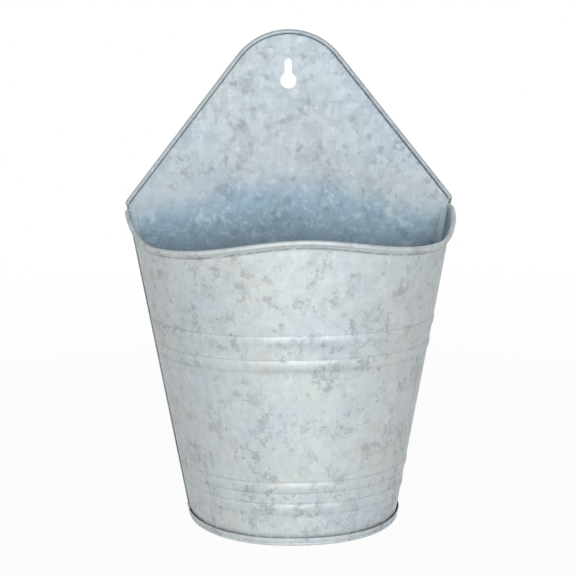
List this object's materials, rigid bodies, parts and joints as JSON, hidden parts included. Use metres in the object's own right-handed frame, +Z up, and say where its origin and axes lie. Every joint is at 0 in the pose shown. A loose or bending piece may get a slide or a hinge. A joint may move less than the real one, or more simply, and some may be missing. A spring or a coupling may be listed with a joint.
{
  "type": "wall planter",
  "caption": "Half-round tapered planter of galvanised sheet that hangs on a wall by the keyhole in its gabled back panel.",
  "frame": {"origin": "under the middle of the bounding box, on the surface that the planter stands on", "axes": "+Z up, +Y towards the wall, the bowed front faces -Y, +X to the right seen from the front"},
  "size_m": [0.2032, 0.1142, 0.3],
  "materials": {
    "galvanised_sheet": "hot-dip galvanised, satin, spangled",
    "steel_wire": "drawn, bare"
  },
  "bodies": {
    "root": {"back_panel": "galvanised_sheet", "front_shell": "galvanised_sheet", "base_pan": "galvanised_sheet", "rim_wire": "steel_wire", "gable_wire": "steel_wire"}
  },
  "joints": []
}
